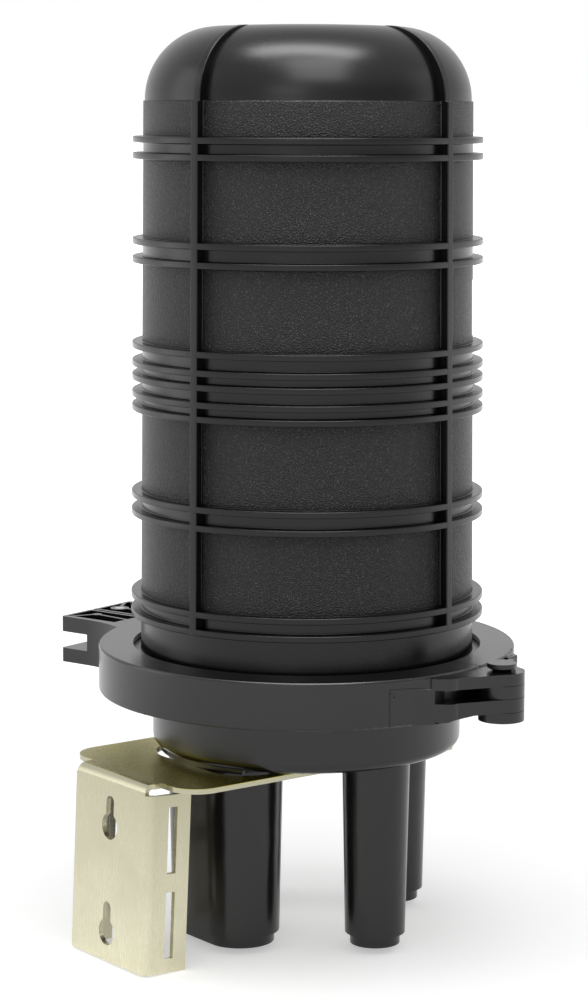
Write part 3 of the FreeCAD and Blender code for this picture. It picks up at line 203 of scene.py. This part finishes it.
class Paint(Tree):
    """One material, whose varying inputs are shader values."""

    def __init__(self, name):
        self.material = bpy.data.materials.new(name)
        super().__init__(self.material)
        self.place = self.node("ShaderNodeTexCoord", output="Object")
        self.x, self.y, self.z = (self.node("ShaderNodeSeparateXYZ", inputs={0: self.place}, output=axis)
                                  for axis in range(3))
        self.radius = (self.x * self.x + self.y * self.y) ** 0.5

    def noise(self, scale, detail=3.0, roughness=0.5, stretch=(1.0, 1.0, 1.0)):
        place = self.node("ShaderNodeMapping", inputs={"Vector": self.place, "Scale": stretch})
        inputs = {"Vector": place, "Scale": scale, "Detail": detail, "Roughness": roughness}
        return self.node("ShaderNodeTexNoise", inputs=inputs)

    def cells(self, scale):
        return self.node("ShaderNodeTexVoronoi", inputs={"Vector": self.place, "Scale": scale})

    def mix(self, factor, first, second):
        """A colour between two."""
        inputs = {0: factor, 6: first, 7: second}
        return self.node("ShaderNodeMix", {"data_type": "RGBA"}, inputs, output=2)

    def bump(self, height, distance):
        inputs = {"Height": height, "Distance": distance, "Strength": 1.0}
        return self.node("ShaderNodeBump", inputs=inputs)

    def finish(self, **inputs):
        """Constants and values of the surface, by input name with _ for a space."""
        named = {name.replace("_", " "): number for name, number in inputs.items()}
        shader = self.node("ShaderNodeBsdfPrincipled", inputs=named)
        self.node("ShaderNodeOutputMaterial", inputs={"Surface": shader}, output=None)
        return self.material


# plastics and metals; heights and radii in metres

def grey(level):
    """A near-neutral black or grey, a little blue."""
    return (level, level, level * 1.03, 1.0)


def shades(color, darkening):
    """A darker shade of a colour, and the colour itself."""
    return (*(part * darkening for part in color), 1.0), (*color, 1.0)


def moulded(name, level, shine, gloss, panels=(), lined=False):
    """Black moulded plastic. The dome's wall is textured between the given heights, with painted
    sparkle: lighter flecks on the grain.
    """
    paint = Paint(name)
    cloud = paint.noise(14.0, 4.0, 0.6)
    speck = paint.noise(900.0, 2.0, 0.6)
    fine = paint.noise(2600.0, 2.0, 0.5)
    height = fine * 0.12
    rough = shine + cloud * 0.08 + speck * 0.04
    tone = 0.5 + (cloud - 0.5) * 0.5
    if panels:
        proud, soft, fade = 0.0009, 0.0005, 0.0006
        surface = WALL_RADIUS * MM - (paint.z - PARTING * MM) * DRAFT
        bare = 1.0 - paint.radius.above(surface + proud, soft)
        zones = [paint.z.within(low * MM, high * MM, fade) for low, high in panels]
        panel = bare * sum(zones[1:], zones[0])
        grain = paint.noise(1500.0, 2.0, 0.5)
        lumps = paint.cells(1300.0)
        height = height + panel * (grain * 2.6 + lumps * 1.6)
        rough = rough + panel * 0.14
        tone = tone + panel * (grain - 0.5) * 0.8
    color = paint.mix(tone, grey(level * 0.8), grey(level * 1.25))
    if panels:
        # painted sparkle: lighter flecks on the tops of the panels' grain
        color = paint.mix(panel * grain.above(0.62, 0.10), color, grey(0.042))
    if lined:
        line = mould_line(paint)
        height = height - line * 3.0
        rough = rough + line * 0.4
    return paint.finish(Base_Color=color, Roughness=rough, Specular_IOR_Level=gloss,
                        Normal=paint.bump(height, 0.0002))


def mould_line(paint):
    """Stepped joint line with a small round mark, on the front of the hoop; 1 on the line."""
    start, end = -0.19242, -0.17201
    foot, middle, top = 0.118, 0.1376, 0.144
    rise, half = 0.0005, 0.00022
    mark_along, mark_height = start + 0.0012, 0.1346
    mark_inside, mark_outside = 0.0009, 0.0014
    hoop_face = 0.1035
    around = paint.node("ShaderNodeMath", {"operation": "ARCTAN2"}, {0: paint.y, 1: paint.x})
    along = around * (HOOP_RADIUS * MM)
    step = paint.z - (middle + rise - (along - start) * (2 * rise / (end - start)))
    lower = along.within(start - half, start + half, half) * paint.z.within(foot, middle + rise, half)
    level = step.within(-half, half, half) * along.within(start, end, half)
    upper = along.within(end - half, end + half, half) * paint.z.within(middle - rise, top, half)
    across = along - mark_along
    away = (across * across + (paint.z - mark_height) ** 2.0) ** 0.5
    mark = away.within(mark_inside, mark_outside, half)
    drawn = (lower + level + upper + mark).above(0.5, 1.0)
    return drawn * paint.radius.above(hoop_face, 0.0002)


def zinc(name):
    """Brushed and mottled zinc, with painted shade: a darker olive higher up, and a deep yellow on the
    plate's top that is deepest round the cup.
    """
    shaded = (0.50, 0.47, 0.32, 1.0)
    bright = (0.84, 0.81, 0.63, 1.0)
    # colour of the painted shade higher up on the bracket
    shade_olive = (0.34, 0.33, 0.23, 1.0)
    # colour of the painted shade on the plate's top round the cup
    yellow = (0.46, 0.40, 0.04, 1.0)
    plate_top = 0.0896
    paint = Paint(name)
    cloud = paint.noise(30.0, 4.0, 0.6)
    streak = paint.noise(260.0, 3.0, 0.6, stretch=(6.0, 6.0, 0.35))
    grain = paint.noise(2400.0, 2.0, 0.5)
    plain = paint.mix(cloud * 0.7 + streak * 0.3, shaded, bright)
    # painted shade: the zinc turns a darker olive higher up
    shade_higher_up = paint.mix(paint.z.above(0.06, 0.09) * (0.7 + cloud * 0.4), plain, shade_olive)
    # painted shade: the plate's top is tinted deep yellow, most strongly round the cup
    cup_shade = 1.0 - paint.radius.above(0.112, 0.03)
    color = paint.mix((0.25 + cup_shade * 0.75) * paint.z.above(plate_top, 0.0002), shade_higher_up, yellow)
    rough = 0.20 + streak * 0.06 + cloud * 0.08
    return paint.finish(Base_Color=color, Roughness=rough, Metallic=0.95,
                        Normal=paint.bump(streak * 0.5 + grain * 0.12, 0.00004))


def metal(name, color, shine):
    """Turned or rolled bare metal."""
    paint = Paint(name)
    turning = paint.noise(900.0, 2.0, 0.5, stretch=(1.0, 1.0, 8.0))
    cloud = paint.noise(80.0, 3.0, 0.5)
    return paint.finish(Base_Color=paint.mix(cloud, *shades(color, 0.8)), Metallic=1.0,
                        Roughness=shine + turning * 0.1, Normal=paint.bump(turning, 0.00003))


def smooth_plastic(name, color, shine):
    """Evenly coloured plastic or rubber."""
    paint = Paint(name)
    cloud = paint.noise(25.0, 3.0, 0.5)
    grain = paint.noise(1800.0, 2.0, 0.5)
    return paint.finish(Base_Color=paint.mix(cloud, *shades(color, 0.9)),
                        Roughness=shine + grain * 0.08, Normal=paint.bump(grain, 0.00004))


def clear_sheet(name):
    """Clear plastic with a faint haze."""
    paint = Paint(name)
    haze = paint.noise(40.0, 3.0, 0.5)
    return paint.finish(Base_Color=(0.9, 0.93, 0.95, 1.0), Roughness=0.06 + haze * 0.08,
                        Transmission_Weight=0.92, IOR=1.49, Normal=paint.bump(haze, 0.00005))


base_black = moulded("base_plastic", 0.003, 0.16, 0.46)
finishes = {
    "black_plastic": moulded("dome_plastic", 0.002, 0.20, 0.30, PANELS),
    "clamp_plastic": moulded("clamp_plastic", 0.005, 0.18, 0.45, lined=True),
    "yellow_zinc": zinc("yellow_zinc"),
    "steel": metal("bright_steel", (0.62, 0.62, 0.63), 0.22),
    "seal": smooth_plastic("seal_rubber", (0.05, 0.05, 0.055), 0.6),
    "tray_plastic": smooth_plastic("tray_plastic", (0.74, 0.75, 0.74), 0.38),
    "comb_plastic": smooth_plastic("comb_plastic", (0.42, 0.44, 0.47), 0.40),
    "clear_plastic": clear_sheet("clear_plastic"),
    "brass": metal("turned_brass", (0.78, 0.60, 0.30), 0.24),
    "frame_sheet": metal("frame_sheet", (0.66, 0.67, 0.68), 0.32),
}
slots = {row["node"]: row["material_slot"] for row in frame["record"]["subparts"]}
for name, node in nodes.items():
    node.data.materials.clear()
    node.data.materials.append(base_black if name == "base" else finishes[slots[name]])


# steps of modelling

def turned(angle):
    """A turn about the dome's axis."""
    return Matrix.Rotation(math.radians(angle), 3, "Z")


def outline(made, points, angle):
    """Joins points of radius and height, in an upright plane.

    A third number is the radius of an arc that leads to the point.
    """
    turn = turned(angle)
    places = [turn @ Vector((point[0], 0.0, point[1])) * MM for point in points]
    for start, end, point in zip(places, places[1:], points[1:]):
        corner = made.verts.new(start)
        if len(point) == 2:
            made.edges.new((corner, made.verts.new(end)))
            continue
        chord = end - start
        side = chord.cross(turn @ Vector((0.0, 1.0, 0.0))).normalized()
        side *= math.sqrt((point[2] * MM) ** 2 - chord.length_squared / 4)
        middle = (start + end) / 2
        centre = min(middle + side, middle - side, key=lambda place: place.z)
        first, last = start - centre, end - centre
        bmesh.ops.spin(made, geom=[corner], cent=centre, axis=first.cross(last).normalized(),
                       angle=first.angle(last), steps=ARC_STEPS)
    bmesh.ops.remove_doubles(made, verts=made.verts, dist=MERGE)


def pushed(made, faces, way):
    """Extrudes faces by a vector and gives their new corners."""
    grown = bmesh.ops.extrude_face_region(made, geom=faces)
    corners = [part for part in grown["geom"] if isinstance(part, bmesh.types.BMVert)]
    bmesh.ops.translate(made, verts=corners, vec=way)
    return corners


def edges_round(made, edges, width, segments):
    bmesh.ops.bevel(made, geom=edges, offset=width * MM, affect="EDGES", segments=segments,
                    profile=0.5, material=-1)


def joined(made, part):
    """Moves one bmesh into another."""
    mesh = bpy.data.meshes.new("part")
    part.to_mesh(mesh)
    part.free()
    made.from_mesh(mesh)
    bpy.data.meshes.remove(mesh)


def finished(made, name, node, body, edge_width=None, edge_angle=28.0):
    """Makes an object of the mesh, in the node's place."""
    for face in made.faces:
        face.smooth = True
    mesh = bpy.data.meshes.new(name)
    made.to_mesh(mesh)
    made.free()
    piece = bpy.data.objects.new(name, mesh)
    bpy.context.scene.collection.objects.link(piece)
    mesh.materials.append(nodes[node].data.materials[0])
    if edge_width:
        edges = piece.modifiers.new("edges", "BEVEL")
        edges.width = edge_width
        edges.segments = 2
        edges.limit_method = "ANGLE"
        edges.angle_limit = math.radians(edge_angle)
    evened = piece.modifiers.new("evened", "WEIGHTED_NORMAL")
    evened.mode = "FACE_AREA"
    evened.weight = 60
    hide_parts(node)
    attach(piece, body)


def softened(node, body, width, angle=28.0, more=None):
    """A node's own shape with rounded edges, and with what is added to it."""
    made = bmesh.new()
    made.from_mesh(nodes[node].data)
    bmesh.ops.remove_doubles(made, verts=made.verts, dist=MERGE)
    if more:
        bmesh.ops.dissolve_limit(made, angle_limit=FLAT, verts=made.verts, edges=made.edges)
        more(made)
    finished(made, node + "_soft", node, body, width, angle)


# the dome: a turned wall with rings, and four ribs over its shoulder

def wall(height):
    """Outside radius of the dome's wall."""
    return WALL_RADIUS - DRAFT * (height - PARTING)


def turned_wall():
    """The dome's wall and rings, open at its foot, with the bare label field let in."""
    root = PARTING + FLANGE_ROOT
    outside = [(FLANGE_RADIUS, PARTING), (FLANGE_RADIUS, PARTING + FLANGE_EDGE), (SLOPE_START, root),
               (wall(root), root)]
    for middle in RINGS:
        low = middle - RING_THICKNESS / 2
        high = middle + RING_THICKNESS / 2
        outside += [(wall(low), low), (wall(low) + RING_DEPTH, low),
                    (wall(high) + RING_DEPTH, high), (wall(high), high)]
        if FIELD_LOW - FIELD_GAP < high < FIELD_LOW:
            outside += [(wall(FIELD_LOW), FIELD_LOW), (wall(FIELD_HIGH), FIELD_HIGH)]
    outside += [(wall(SHOULDER_START), SHOULDER_START), (SHOULDER, SHOULDER_START),
                (TOP_RADIUS, RIM, SHOULDER_ROUND), (0.0, TOP, CROWN_ROUND)]
    inside = [(0.0, TOP - WALL_THICKNESS), (TOP_RADIUS, RIM - WALL_THICKNESS),
              (SHOULDER - WALL_THICKNESS, SHOULDER_START, SHOULDER_ROUND - WALL_THICKNESS),
              (WALL_RADIUS - WALL_THICKNESS, PARTING)]
    made = bmesh.new()
    outline(made, inside + outside, FIELD_START)
    bmesh.ops.spin(made, geom=made.verts[:] + made.edges[:], cent=(0, 0, 0), axis=(0, 0, 1),
                   angle=math.tau, steps=AROUND, use_merge=True)
    bmesh.ops.remove_doubles(made, verts=made.verts, dist=MERGE)
    bmesh.ops.recalc_face_normals(made, faces=made.faces)
    field = []
    for face in made.faces:
        middle = face.calc_center_median()
        angle = math.degrees(math.atan2(middle.y, middle.x)) - FIELD_START
        level = FIELD_LOW * MM < middle.z < FIELD_HIGH * MM
        outer = middle.xy.length >= (wall(middle.z / MM) - CLEAR_OF_WALL) * MM
        if level and 0.0 < angle < FIELD_SWEEP and outer:
            field.append(face)
    bmesh.ops.inset_region(made, faces=field, thickness=FIELD_DEPTH * MM, depth=-FIELD_DEPTH * MM,
                           use_even_offset=True)
    sharp = [edge for edge in made.edges if edge.calc_face_angle(0.0) > SHARP]
    step = [edge for edge in sharp if abs(edge.verts[0].co.z - SHOULDER_START * MM) < SLACK * MM]
    edges_round(made, [edge for edge in sharp if edge not in step], RING_EDGE, 3)
    edges_round(made, [edge for edge in step if edge.is_valid], SHOULDER_STEP / 3, 2)
    return made


def stands_out(place):
    """True for a corner outside the dome's wall and shoulder, short of a rib's end at the top."""
    if place.xy.length <= RIDGE_END * MM:
        return False
    if place.z < (SHOULDER_START + SLACK) * MM:
        return place.xy.length > (wall(place.z / MM) + CLEAR_OF_WALL) * MM
    reach = Vector((place.xy.length - (SHOULDER - SHOULDER_ROUND) * MM, place.z - SHOULDER_START * MM))
    return reach.length > (SHOULDER_ROUND + CLEAR_OF_SHOULDER) * MM


def ribs(made):
    """Four upright ribs that go over the shoulder."""
    half = WALL_THICKNESS / 2
    outer = [(wall(LOWEST) + RIB_DEPTH, LOWEST), (wall(SHOULDER_START) + RIB_DEPTH, SHOULDER_START),
             (SHOULDER + RIDGE_DEPTH, SHOULDER_START), (TOP_RADIUS, RIM + RIDGE_RISE, RIDGE_ROUND)]
    inner = [(RIDGE_FOOT, RIM - half), (SHOULDER - half, SHOULDER_START, SHOULDER_ROUND - half),
             (wall(LOWEST) - half, LOWEST)]
    for number in range(4):
        angle = RIB_TURN + 90.0 * number
        side = turned(angle) @ Vector((0.0, RIB_WIDTH / 2 * MM, 0.0))
        rib = bmesh.new()
        outline(rib, outer + inner + outer[:1], angle)
        bmesh.ops.edgeloop_fill(rib, edges=rib.edges)
        bmesh.ops.translate(rib, verts=rib.verts, vec=-side)
        pushed(rib, rib.faces[:], side * 2)
        bmesh.ops.recalc_face_normals(rib, faces=rib.faces)
        proud = [edge for edge in rib.edges if edge.calc_face_angle(0.0) > RIB_SHARP
                 and all(stands_out(corner.co) for corner in edge.verts)]
        edges_round(rib, proud, RIB_EDGE, 3)
        joined(made, rib)


# the clamp: corners between the hoop and its hinge arms, and the hoop's rounded upper edge

def corner_filled(made, side, arms):
    """Leads the hoop's wall smoothly into its arms. Side is 1 on the front half and -1 on the rear."""
    turn = turned(CLAMP_TURN)
    for plan, low, high in [(CORNER_PLAN, *CORNER_HEIGHTS)] + [(FLANK_PLAN, *arm) for arm in arms]:
        corners = [made.verts.new(turn @ Vector((x, y * side, low)) * MM) for x, y in plan]
        raised = pushed(made, [made.faces.new(corners)], (0.0, 0.0, (high - low) * MM))
        faces = {face for corner in corners + raised for face in corner.link_faces}
        bmesh.ops.recalc_face_normals(made, faces=list(faces))


def edge_rounded(made, side):
    """An even rounding along the hoop's upper edge, from the lug to the hinge."""
    reach = HOOP_ROUND + BAND_PROUD
    middle, level = HOOP_RADIUS - HOOP_ROUND, HOOP_TOP - HOOP_ROUND
    back = middle - BAND_DEPTH
    band = bmesh.new()
    outline(band, [(back, level), (middle + reach, level), (middle, level + reach, reach),
                   (back, level + BAND_HEIGHT), (back, level)], CLAMP_TURN + BAND_START * side)
    bmesh.ops.spin(band, geom=band.verts[:] + band.edges[:], cent=(0, 0, 0), axis=(0, 0, side),
                   angle=math.radians(BAND_SWEEP), steps=BAND_STEPS)
    bmesh.ops.holes_fill(band, edges=[edge for edge in band.edges if edge.is_boundary], sides=0)
    bmesh.ops.recalc_face_normals(band, faces=band.faces)
    joined(made, band)


def front_half(made):
    corner_filled(made, 1, FRONT_ARMS)
    edge_rounded(made, 1)


def rear_half(made):
    corner_filled(made, -1, REAR_ARMS)
    edge_rounded(made, -1)


dome = turned_wall()
ribs(dome)
finished(dome, "dome_ribbed", "dome", "closure")
softened("base", "closure", 0.0006)
softened("clamp_front_half", "closure", 0.0004, 40.0, front_half)
softened("clamp_rear_half", "rear_half", 0.0004, 40.0, rear_half)
softened("clamp_hinge_pin", "closure", 0.0004)
softened("wall_bracket", "closure", 0.0003)


# floor, light and camera, in metres

FLOOR_HALF = 30.0
FLOOR_GAP = 0.0002
WHITE = (1.0, 1.0, 1.0, 1.0)


def floor_white():
    """White that keeps the shadow near the object and turns to the backdrop's white away from it."""
    paint = Paint("floor_white")
    far = paint.radius.above(1.0, 1.2)
    glow = paint.mix(far, (0.42, 0.42, 0.42, 1.0), (1.1, 1.1, 1.1, 1.0))
    return paint.finish(Base_Color=(0.8, 0.8, 0.8, 1.0), Roughness=0.9, Emission_Color=glow,
                        Emission_Strength=1.0)


floor_mesh = bpy.data.meshes.new("floor")
sheet = bmesh.new()
bmesh.ops.create_grid(sheet, x_segments=1, y_segments=1, size=FLOOR_HALF)
sheet.to_mesh(floor_mesh)
sheet.free()
floor = bpy.data.objects.new("floor", floor_mesh)
floor.location.z = frame_low.z - FLOOR_GAP
floor_mesh.materials.append(floor_white())
bpy.context.scene.collection.objects.link(floor)

SIGHT = Vector((0.6101, 0.7923, 0.0))
ACROSS = Vector((0.7923, -0.6101, 0.0))
UP = Vector((0.0, 0.0, 1.0))
DOME_HEIGHT = 0.40


def lamp(name, across, back, up, width, height, power, aim=0.24, gloss_only=False):
    """A soft box, aimed at a height on the dome's axis.

    Its place is as seen from the camera: across to the right, back away from it, and up.
    """
    light = bpy.data.lights.new(name, "AREA")
    light.shape = "RECTANGLE"
    light.size = width
    light.size_y = height
    light.energy = power
    holder = bpy.data.objects.new(name, light)
    holder.visible_diffuse = not gloss_only
    holder.location = ACROSS * across + SIGHT * back + UP * up
    aimed = UP * aim - holder.location
    holder.rotation_euler = aimed.to_track_quat("-Z", "Y").to_euler()
    bpy.context.scene.collection.objects.link(holder)


lamp("left_box", -1.6, 0.1, 0.6, 0.8, 1.4, 5.0)
lamp("right_box", 1.6, 0.1, 0.6, 0.8, 1.4, 2.0)
lamp("top_box", -0.03, -0.25, 1.75, 1.3, 0.42, 20.0, aim=DOME_HEIGHT, gloss_only=True)
lamp("front_high_box", 0.15, -1.1, 1.6, 1.0, 1.0, 15.0, aim=DOME_HEIGHT, gloss_only=True)
lamp("ceiling", 0.0, -0.4, 1.9, 1.4, 1.4, 9.0)
lamp("front_box", -0.5, -2.0, 0.9, 0.9, 0.6, 3.0)

world = bpy.data.worlds.new("studio")
bpy.context.scene.world = world
air = Tree(world)


def background(strength):
    return air.node("ShaderNodeBackground", inputs={"Color": WHITE, "Strength": strength})


def facing(direction, start, end, low, high):
    """A number that goes from low to high as the light comes more from one direction."""
    place = air.node("ShaderNodeTexCoord", output="Generated")
    along = air.node("ShaderNodeVectorMath", {"operation": "DOT_PRODUCT"}, {0: place, 1: direction},
                     output="Value")
    return air.node("ShaderNodeMapRange", {"interpolation_type": "SMOOTHSTEP"},
                    {"Value": along, "From Min": start, "From Max": end, "To Min": low, "To Max": high})


def seen_by(rays, light, others):
    """One light for a kind of rays, and another for the rest."""
    factor = air.node("ShaderNodeLightPath", output=f"Is {rays} Ray")
    return air.node("ShaderNodeMixShader", inputs={0: factor, 1: others, 2: light})


# in reflections, white paper behind the object and a darker room towards the camera,
# lighter on the left and overhead
low_front = facing(ACROSS, 0.0, 0.85, 1.0, 0.5)
front = facing(UP, 0.15, 0.6, low_front, 1.15)
studio = facing(SIGHT, -0.6, 0.9, front, 0.95)
light = seen_by("Glossy", background(studio), background(0.55))
light = seen_by("Transmission", background(1.0), light)
light = seen_by("Camera", background(1.0), light)
air.node("ShaderNodeOutputWorld", inputs={"Surface": light}, output=None)

# the camera, fitted to the photo, whose focal length and horizon are in its pixels
PHOTO_HEIGHT = 1000.0
FOCAL = 2758.0
HORIZON = 396.0
SENSOR = 36.0
DISTANCE = 1.365
HEIGHT = 0.4101
PITCH = math.atan2(HORIZON, FOCAL)
HEADING = math.radians(-37.6)
ROLL = math.radians(0.18)
camera_data = bpy.data.cameras.new("camera")
camera_data.lens = FOCAL / PHOTO_HEIGHT * SENSOR
camera_data.sensor_width = SENSOR
camera_data.shift_x = -0.0132
camera_data.clip_start = 0.01
camera_data.clip_end = 50.0
camera = bpy.data.objects.new("camera", camera_data)
camera.location = UP * HEIGHT - SIGHT * DISTANCE
level = Euler((math.radians(90.0) - PITCH, 0.0, HEADING)).to_quaternion()
camera.rotation_euler = (level @ Quaternion(UP, ROLL)).to_euler()
bpy.context.scene.collection.objects.link(camera)
bpy.context.scene.camera = camera
bpy.context.scene.view_settings.view_transform = "Standard"
